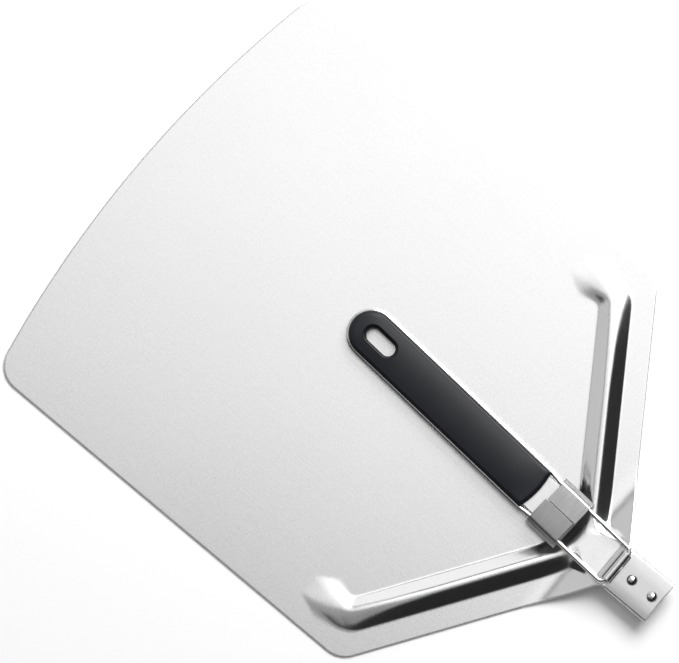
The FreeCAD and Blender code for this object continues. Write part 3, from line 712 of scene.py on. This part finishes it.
def rounded_line(corners, radii, step=0.5):
    """Plan points along straight runs joined by arcs, one radius for each inner corner."""
    corners = [np.array(corner, float) for corner in corners]
    line = [corners[0]]
    for before, corner, after, radius in zip(corners, corners[1:], corners[2:], radii):
        back = (before - corner) / np.linalg.norm(before - corner)
        ahead = (after - corner) / np.linalg.norm(after - corner)
        half_turn = (math.pi - math.acos(np.clip(back @ ahead, -1, 1))) / 2
        reach = radius * math.tan(half_turn)
        centre = corner + (back + ahead) / np.linalg.norm(back + ahead) * radius / math.cos(half_turn)
        start = corner + back * reach
        count = max(3, int(2 * half_turn * radius / step))
        for share in np.linspace(0, 1, count + 1):
            # a point of the chord, pushed out to the arc
            chord = start + (ahead - back) * reach * share - centre
            line.append(centre + chord / np.linalg.norm(chord) * radius)
    line.append(corners[-1])
    return np.array(line)


wire_radius = 1.5
wire_turn = 1.9
shoulder_turn = 3.0
splay_turn = 16.0
pin_end = 4.0
leg_gap = 13.35
splay_start = 60.5
grip_low_x = 68.3
grip_gap = 14.35
grip_gap_near = 14.6
grip_tip_turn = 206.7
leg_line = rounded_line(
    [
        (0, pin_end),
        (0, leg_gap - 2),
        (2, leg_gap),
        (splay_start, leg_gap + 0.3),
        (grip_low_x, grip_gap_near),
        (grip_tip_turn, grip_gap),
    ],
    [wire_turn, shoulder_turn, splay_turn, splay_turn],
)
tip_angles = np.linspace(math.pi / 2, -math.pi / 2, 40)
tip_line = np.column_stack([grip_tip_turn + grip_gap * np.cos(tip_angles), grip_gap * np.sin(tip_angles)])
wire_line = np.concatenate([leg_line[:-1], tip_line, (leg_line[:-1] * [1, -1])[::-1]])
wire_line = np.column_stack([wire_line, np.zeros(len(wire_line))])
drawn = Finish("polished_wire_steel")
drawn_lines = drawn.noise(drawn.stretched((40, 900, 900)), detail=3.0)
drawn.set(
    Base_Color=drawn.mix_colours(drawn_lines, (0.6, 0.6, 0.6), (0.8, 0.8, 0.8)),
    Metallic=1.0,
    Roughness=0.12 + drawn_lines * 0.12,
)
drawing = Former("drawing", {"Radius": "Float", "Sides": "Int"})
path = drawing.add("GeometryNodeMeshToCurve", sockets={"Mesh": drawing.given("Line")})
section = drawing.add(
    "GeometryNodeCurvePrimitiveCircle",
    sockets={"Resolution": drawing.given("Sides"), "Radius": drawing.given("Radius")},
)
bar = drawing.add(
    "GeometryNodeCurveToMesh", sockets={"Curve": path, "Profile Curve": section, "Fill Caps": True}
)
drawing.close(bar, drawn.material)
wires = drawing.form("wire_legs", from_handle(wire_line) / mm, {"Radius": wire_radius / mm, "Sides": 28})
weld(wires.data)
wires.data.shade_smooth()
wires.data.set_sharp_from_angle(angle=math.radians(60))
finish_piece(wires, "handle_body", ["wire_frame"])

# ----------------------------------------------------------------------------------------- core plate
# A flat satin steel plate lies between the legs, runs up inside the grip and ends under the collar.


def rounded_box(low, high, radius, steps=6):
    """A plan outline with rounded corners, as a loop of points."""
    loop = []
    for corner_x, corner_y, start in (
        (high[0] - radius, high[1] - radius, 0),
        (low[0] + radius, high[1] - radius, 90),
        (low[0] + radius, low[1] + radius, 180),
        (high[0] - radius, low[1] + radius, 270),
    ):
        for a in np.radians(np.linspace(start, start + 90, steps)):
            loop.append((corner_x + radius * math.cos(a), corner_y + radius * math.sin(a)))
    return np.array(loop)


def slab(loop, heights):
    return loft([np.column_stack([loop, np.full(len(loop), height)]) for height in heights])


core_start = 40.0
core_end = 152.0
core_half = 11.5
core_corner = 2.5
core_gauge = 1.2
core_plan = rounded_box((core_start, -core_half), (core_end, core_half), core_corner)
core_points, core_faces = slab(core_plan, (-core_gauge / 2, core_gauge / 2))
core_finish = Finish("satin_core_steel")
core_grain = core_finish.noise(core_finish.stretched((120, 1800, 100)), detail=3.0)
core_finish.set(
    Base_Color=core_finish.mix_colours(core_grain, (0.7, 0.7, 0.7), (0.86, 0.86, 0.86)),
    Metallic=1.0,
    Roughness=0.28 + core_grain * 0.08,
)
core = mesh_piece(
    "core_sheet",
    from_handle(core_points),
    core_faces,
    core_finish.material,
    "handle_body",
    "core_steel",
    ["core_plate"],
)
soften(core, 0.12, 2)

# --------------------------------------------------------------------------------------- grip, front
# The grip is two moulded shells of black plastic with a soft matt surface. This one shows when the
# handle is folded. Its face is slightly crowned, and a bevel runs round the hanging slot.
grip_half = 14.45
grip_face = 6.5
grip_edge = 3.0
slot_middle = 199.2
slot_half = 10.75
slot_radius = 4.6
slot_bevel = 1.9
near_bow = 1.9
crown = 1.1
bevel_steepness = 0.85
bevel_start = 0.1
tip_steps = 48
side_steps = 60
near_steps = 24


def grip_outline(inset):
    """The grip's plan outline set in by inset, counter-clockwise from the tip's +Y side."""
    tip = grip_half - inset
    tip_arc = np.linspace(math.pi / 2, -math.pi / 2, tip_steps, endpoint=False)
    tip_x = grip_tip_turn + tip * np.cos(tip_arc)
    arc = np.column_stack([tip_x, tip * np.sin(tip_arc)])
    start = grip_low_x + inset
    side = line_points((grip_tip_turn, -tip), (start, -tip), side_steps)
    across = np.linspace(-tip, tip, near_steps, endpoint=False)
    near = np.column_stack([start - near_bow * (1 - (across / grip_half) ** 2), across])
    back = line_points((start, tip), (grip_tip_turn, tip), side_steps)
    return np.concatenate([arc, side, near, back])


def slot_outline(grow):
    """The slot's plan outline grown by grow, in step with grip_outline."""
    radius = slot_radius + grow
    straight = slot_half - slot_radius
    tip_arc = np.linspace(math.pi / 2, -math.pi / 2, tip_steps, endpoint=False)
    arc = np.column_stack(
        [slot_middle + straight + radius * np.cos(tip_arc), radius * np.sin(tip_arc)]
    )
    side = line_points((slot_middle + straight, -radius), (slot_middle - straight, -radius), side_steps)
    near_arc = np.linspace(-math.pi / 2, -3 * math.pi / 2, near_steps, endpoint=False)
    near = np.column_stack(
        [slot_middle - straight + radius * np.cos(near_arc), radius * np.sin(near_arc)]
    )
    back = line_points((slot_middle - straight, radius), (slot_middle + straight, radius), side_steps)
    return np.concatenate([arc, side, near, back])


def shell(side):
    """One closed shell: wall, rounded edge, crowned face, slot bevel, slot wall and flat inner face."""
    rings = []

    def ring(plan, height):
        rings.append(np.column_stack([plan, np.broadcast_to(np.asarray(height, float) * side, len(plan))]))

    rim_face = grip_face - crown
    ring(grip_outline(0.25), 0.0)
    ring(grip_outline(0.05), 0.15)
    ring(grip_outline(0.0), 0.4)
    ring(grip_outline(0.0), rim_face - grip_edge)
    for a in np.radians(np.linspace(10, 90, 9)):
        ring(grip_outline(grip_edge * (1 - math.cos(a))), rim_face - grip_edge * (1 - math.sin(a)))
    outer = grip_outline(grip_edge)
    inner = slot_outline(slot_bevel)
    for share in np.linspace(0, 1, 15)[1:]:
        plan = outer + (inner - outer) * share
        rise = 1 - np.clip(np.abs(plan[:, 1]) / (grip_half - grip_edge), 0, 1) ** 2
        tip_rise = 1 - np.clip((plan[:, 0] - grip_tip_turn) / (grip_half - grip_edge), 0, 1) ** 2
        ring(plan, rim_face + crown * rise * tip_rise)
    for a in np.radians(np.linspace(0, 90, 7)[1:]):
        bevel_drop = slot_bevel * bevel_steepness * (1 - math.cos(a))
        ring(slot_outline(slot_bevel * (1 - math.sin(a))), rim_face - bevel_start - bevel_drop)
    ring(slot_outline(0.0), 0.3)
    ring(slot_outline(0.15), 0.0)
    points, faces = loft(rings + rings[:1], capped=False)
    return points, faces


moulded = Finish("black_grip_plastic")
stipple = moulded.noise(moulded.place(), detail=3.0, roughness=0.6, scale=2600)
worn = moulded.noise(moulded.place(), detail=2.0, scale=60)
moulded.set(
    Base_Color=moulded.mix_colours(worn, (0.0035, 0.0045, 0.0075), (0.0095, 0.0105, 0.013)),
    Roughness=0.4 + stipple * 0.1,
    Specular_IOR_Level=0.32,
    Normal=moulded.bump(stipple, 0.25, 0.00003),
)
shell_points, shell_faces = shell(1)
grip_front = mesh_piece(
    "grip_front",
    from_handle(shell_points),
    shell_faces,
    moulded.material,
    "handle_body",
    "grip_black",
    ["grip_front_shell"],
)
weld(grip_front.data)
grip_front.data.set_sharp_from_angle(angle=math.radians(40))

# ---------------------------------------------------------------------------------------- grip, back
# The back shell is the same moulding turned over, with the two screws' counterbores in its face.
frame["nodes"]["grip_back_shell"].data.materials.clear()
frame["nodes"]["grip_back_shell"].data.materials.append(moulded.material)

# --------------------------------------------------------------------------------------- grip screws
# Two zinc-plated cross-head screws hold the shells together through the core plate.
plated = Finish("plated_screw_steel")
plated_haze = plated.noise(plated.place(), detail=3.0, scale=1200)
plated.set(
    Base_Color=plated.mix_colours(plated_haze, (0.55, 0.55, 0.54), (0.7, 0.7, 0.69)),
    Metallic=1.0,
    Roughness=0.25 + plated_haze * 0.12,
)
for node in ("grip_screw_near", "grip_screw_far"):
    frame["nodes"][node].data.materials.clear()
    frame["nodes"][node].data.materials.append(plated.material)

# ------------------------------------------------------------------------------------- locking collar
# One strip of stainless sheet is wrapped round the legs and slides on them. Its ends meet on the side
# that shows, slightly out of step, and both edges of its other side are pinched out into lips.
collar_start = 35.9
collar_end = 59.5
collar_half = 16.3
collar_deep = 7.6
collar_back = 2.55
collar_gauge = 0.7
collar_corner = 2.9
lip = 2.0
seam_y = 0.6
seam_half = 0.34
out_of_step = 1.0
collar_drop = 0.25
drop_start_y = 6.0
drop_start_share = 0.45
wall_foot = 1.0
lip_turn = 0.6
lip_setback = 0.9


def wrap_half(sign, start, end):
    """One half of the wrap: from the seam over the top, round the corner and down to the lip."""
    top = collar_deep - collar_gauge / 2
    wall = collar_half - collar_gauge / 2
    radius = collar_corner - collar_gauge / 2
    shoulder_y = wall - radius
    line = [(-seam_y + seam_half * sign, top), (sign * drop_start_y, top - collar_drop * drop_start_share)]
    line.append((sign * shoulder_y, top - collar_drop))
    for a in np.radians(np.linspace(10, 90, 9)):
        height = top - collar_drop - radius * (1 - math.cos(a))
        line.append((sign * (shoulder_y + radius * math.sin(a)), height))
    foot = 1.5 * collar_gauge - collar_back
    line.append((sign * wall, wall_foot))
    for a in np.radians(np.linspace(0, 90, 6)):
        line.append((sign * (wall + lip_turn * (1 - math.cos(a))), foot + lip_turn * (1 - math.sin(a))))
    line.append((sign * (collar_half + lip - lip_setback), foot))
    loop = ribbon(line, collar_gauge)
    middle = (start + end) / 2
    return loft([np.column_stack([np.full(len(loop), x), loop]) for x in (start, middle, end)])


back_loop = np.array(
    [
        (-(collar_half + lip), -collar_back),
        (collar_half + lip, -collar_back),
        (collar_half + lip, collar_gauge - collar_back),
        (-(collar_half + lip), collar_gauge - collar_back),
    ]
)
back_strip = loft(
    [np.column_stack([np.full(len(back_loop), x), back_loop]) for x in (collar_start, collar_end)]
)
collar_points, collar_faces = join(
    wrap_half(1, collar_start + out_of_step, collar_end),
    wrap_half(-1, collar_start, collar_end - out_of_step),
    back_strip,
)
cross_brushed = Finish("cross_brushed_collar_steel")
cross_grain = cross_brushed.noise(cross_brushed.stretched((5200, 110, 110)), detail=4.0, roughness=0.65)
cross_brushed.set(
    Base_Color=cross_brushed.mix_colours(cross_grain, (0.15, 0.15, 0.15), (0.55, 0.55, 0.55)),
    Metallic=1.0,
    Roughness=0.26 + cross_grain * 0.16,
    Normal=cross_brushed.bump(cross_grain, 0.5, 0.00002),
)
collar = mesh_piece(
    "collar_wrap",
    from_handle(collar_points),
    collar_faces,
    cross_brushed.material,
    "collar_body",
    "collar_steel",
    ["locking_collar"],
)
soften(collar, 0.14)

# -------------------------------------------------------------------------------------- camera and room
# A pale floor under soft studio light: a large softbox over the blade's +Y half, a dim one over its
# -Y half, a key light, and two lower softboxes that face the blade from the side. The camera looks
# nearly straight down from far off, with the tail towards the lower right.
camera = bpy.data.objects.new("camera", bpy.data.cameras.new("camera"))
bpy.context.scene.collection.objects.link(camera)
bpy.context.scene.camera = camera
camera_distance = 5.0
camera_roll = math.radians(39.94)
camera_tilt = math.radians(4.0)
camera_sway = math.radians(0.81)
view_centre = (-0.0481, 0.0025, 0)
roll = Matrix.Rotation(camera_roll, 4, "Z")
tilt = Matrix.Rotation(camera_tilt, 4, "X")
sway = Matrix.Rotation(camera_sway, 4, "Y")
aim = Matrix.Translation(view_centre) @ roll @ tilt @ sway
camera.matrix_world = aim @ Matrix.Translation((0, 0, camera_distance))
camera.data.sensor_width = 36.0
view_width = 0.4166
camera.data.lens = camera_distance / view_width * camera.data.sensor_width
camera.data.clip_end = 50.0

floor_mesh = bpy.data.meshes.new("floor")
floor_reach = 6.0
floor_mesh.from_pydata(
    [
        (-floor_reach, -floor_reach, 0),
        (floor_reach, -floor_reach, 0),
        (floor_reach, floor_reach, 0),
        (-floor_reach, floor_reach, 0),
    ],
    [],
    [(0, 1, 2, 3)],
)
floor = bpy.data.objects.new("floor", floor_mesh)
bpy.context.scene.collection.objects.link(floor)
pale = Finish("pale_floor")
pale.set(Base_Color=(0.93, 0.93, 0.93, 1), Roughness=0.9, Specular_IOR_Level=0.0)
floor.data.materials.append(pale.material)

screen_right = Vector((math.cos(camera_roll), math.sin(camera_roll), 0))
screen_up = Vector((-screen_right.y, screen_right.x, 0))


def softbox(name, place, size, radiance, facing=None, turn=0.0):
    """A rectangular lamp of even radiance at place, facing a point, or facing down and turned about Z."""
    lamp = bpy.data.lights.new(name, "AREA")
    lamp.shape = "RECTANGLE"
    lamp.size = size[0]
    lamp.size_y = size[1]
    lamp.energy = radiance * math.pi * size[0] * size[1]
    box = bpy.data.objects.new(name, lamp)
    bpy.context.scene.collection.objects.link(box)
    box.location = place
    box.rotation_euler = (0, 0, turn)
    if facing is not None:
        box.rotation_euler = (Vector(facing) - Vector(place)).to_track_quat("-Z", "Y").to_euler()


overhead_turn = math.radians(16)
softbox("overhead", (-0.03, 0.885, 1.6), (1.92, 1.85), 1.08, turn=overhead_turn)
softbox("dim_overhead", (-0.02, -0.74, 1.6), (1.7, 1.3), 0.31, turn=overhead_turn)
softbox("key", screen_up * 1.6 + screen_right * 1.0 + Vector((0, 0, 2.0)), (1.7, 1.5), 10.2, (0, 0, 0))
softbox("back", screen_up * 2.2 + screen_right * 0.1 + Vector((0, 0, 0.9)), (2.8, 1.4), 1.05, (0, 0, 0.1))
softbox("fill", screen_right * -1.8 + screen_up * 1.0 + Vector((0, 0, 1.3)), (2.9, 2.2), 0.62, (0, 0, 0.1))

world = bpy.data.worlds.new("studio")
bpy.context.scene.world = world
world.use_nodes = True
world.node_tree.nodes["Background"].inputs["Color"].default_value = (1, 1, 1, 1)
world.node_tree.nodes["Background"].inputs["Strength"].default_value = 0.02
bpy.context.scene.view_settings.view_transform = "Standard"
